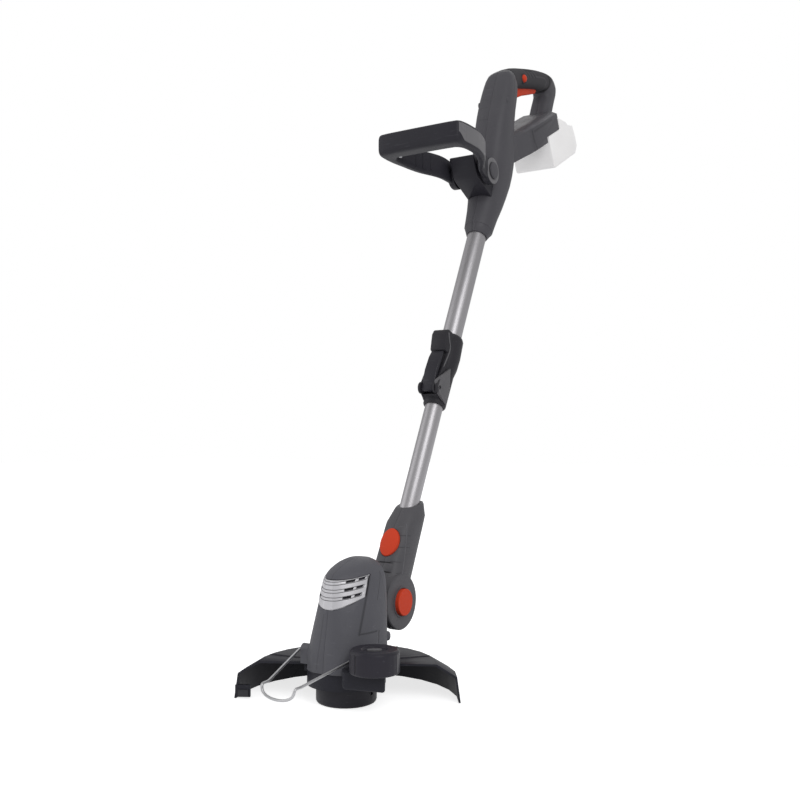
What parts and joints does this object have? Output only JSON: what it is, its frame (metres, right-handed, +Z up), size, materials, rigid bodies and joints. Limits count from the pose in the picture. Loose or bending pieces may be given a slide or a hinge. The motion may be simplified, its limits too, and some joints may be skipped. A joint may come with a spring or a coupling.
{
  "type": "cordless string trimmer",
  "caption": "Battery string trimmer: telescopic shaft, tilting motor head with half-round guard and edge wire, D-shaped rear and front handles.",
  "frame": {"origin": "centre of the spool's flat lower face", "axes": "+Z up along the spool's spin axis, -Y the mowing direction, +X the operator's right"},
  "size_m": [0.253, 0.779, 0.9314],
  "materials": {
    "housing_grey": "moulded, fine grain",
    "black_plastic": "moulded, fine grain",
    "soft_black": "soft moulded",
    "orange_plastic": "moulded, satin",
    "cover_grey": "moulded, fine grain",
    "pack_grey": "moulded, fine grain",
    "silver_paint": "moulded, satin",
    "aluminium": "drawn, anodised",
    "steel": "plain",
    "board_green": "moulded, fine grain",
    "line_nylon": "moulded, satin"
  },
  "bodies": {
    "handle_unit": {"housing_left": "housing_grey", "housing_right": "housing_grey", "grip_sleeve": "soft_black", "housing_screw_1": "steel", "housing_screw_2": "steel", "housing_screw_3": "steel", "switch_module": "black_plastic", "control_board": "board_green", "terminal_block": "black_plastic", "handle_bracket": "black_plastic", "handle_bolt": "steel", "handle_cap_left": "cover_grey", "handle_cap_right": "cover_grey", "upper_tube": "aluminium", "clamp_body": "black_plastic", "clamp_cover": "cover_grey", "clamp_pin": "steel"},
    "trigger_lever": {"trigger": "orange_plastic"},
    "lock_off": {"lock_off_button": "orange_plastic"},
    "battery": {"battery_pack": "pack_grey"},
    "release": {"battery_release_button": "black_plastic"},
    "auxiliary_handle": {"front_handle": "black_plastic"},
    "cam_lever": {"clamp_lever": "black_plastic"},
    "inner_shaft": {"lower_tube": "aluminium"},
    "arm": {"arm_left": "housing_grey", "arm_right": "housing_grey"},
    "turn_button": {"rotation_button": "orange_plastic"},
    "head_tilt_button": {"tilt_button": "orange_plastic"},
    "motor_head": {"motor_housing_left": "housing_grey", "motor_housing_right": "housing_grey", "vent_grille": "silver_paint", "motor_can": "steel", "guard": "black_plastic", "line_cutter": "steel"},
    "spool_head": {"drive_shaft": "steel", "spool_housing": "black_plastic", "spool_cup": "black_plastic", "line_spool": "black_plastic", "wound_line": "line_nylon"},
    "wire_guide": {"edge_wire": "steel"},
    "spare": {"spare_spool": "black_plastic"}
  },
  "joints": [
    {"name": "trigger_squeeze", "type": "hinge", "parent": "handle_unit", "child": "trigger_lever", "pos_m": [0, 0.53129, 0.89887], "axis": [-1, 0, 0], "range_deg": [0, 4.5], "stiffness_Nm_per_rad": 0.6, "springref_deg": -14.32},
    {"name": "lock_off_press", "type": "slide", "parent": "handle_unit", "child": "lock_off", "axis": [-1, 0, 0], "range_m": [0, 0.0035], "stiffness_N_per_m": 400, "springref_m": -0.002},
    {"name": "battery_slide_off", "type": "slide", "parent": "handle_unit", "child": "battery", "axis": [0, 0.8829, 0.4695], "range_m": [0, 0.07]},
    {"name": "battery_release_press", "type": "slide", "parent": "battery", "child": "release", "axis": [0, 0.4695, -0.8829], "range_m": [0, 0.003], "stiffness_N_per_m": 400, "springref_m": -0.002},
    {"name": "front_handle_swing", "type": "hinge", "parent": "handle_unit", "child": "auxiliary_handle", "pos_m": [0, 0.32292, 0.69982], "axis": [1, 0, 0], "range_deg": [-60, 25]},
    {"name": "clamp_lever_open", "type": "hinge", "parent": "handle_unit", "child": "cam_lever", "pos_m": [0, 0.19279, 0.37629], "axis": [1, 0, 0], "range_deg": [0, 90]},
    {"name": "telescope", "type": "slide", "parent": "handle_unit", "child": "inner_shaft", "axis": [0, -0.4462, -0.8949], "range_m": [-0.12, 0.1]},
    {"name": "head_turn", "type": "hinge", "parent": "inner_shaft", "child": "arm", "pos_m": [0, 0.032, 0], "axis": [0, 0.4462, 0.8949], "range_deg": [0, 180]},
    {"name": "turn_button_press", "type": "slide", "parent": "arm", "child": "turn_button", "axis": [0, 0.8949, -0.4462], "range_m": [0, 0.003], "stiffness_N_per_m": 400, "springref_m": -0.002},
    {"name": "tilt_button_press", "type": "slide", "parent": "arm", "child": "head_tilt_button", "axis": [-1, 0, 0], "range_m": [0, 0.003], "stiffness_N_per_m": 400, "springref_m": -0.002},
    {"name": "head_tilt", "type": "hinge", "parent": "arm", "child": "motor_head", "pos_m": [0, 0.08868, 0.10449], "axis": [1, 0, 0], "range_deg": [0, 60]},
    {"name": "spool_spin", "type": "hinge", "parent": "motor_head", "child": "spool_head", "pos_m": [0, 0, 0], "axis": [0, 0, 1], "continuous": true},
    {"name": "wire_guide_swing", "type": "hinge", "parent": "motor_head", "child": "wire_guide", "pos_m": [0, -0.027, 0.0617], "axis": [1, 0, 0], "range_deg": [-75, 0]},
    {"name": "spare_spool_lift", "type": "slide", "parent": "motor_head", "child": "spare", "axis": [0, 0, 1], "range_m": [0, 0.04]}
  ]
}
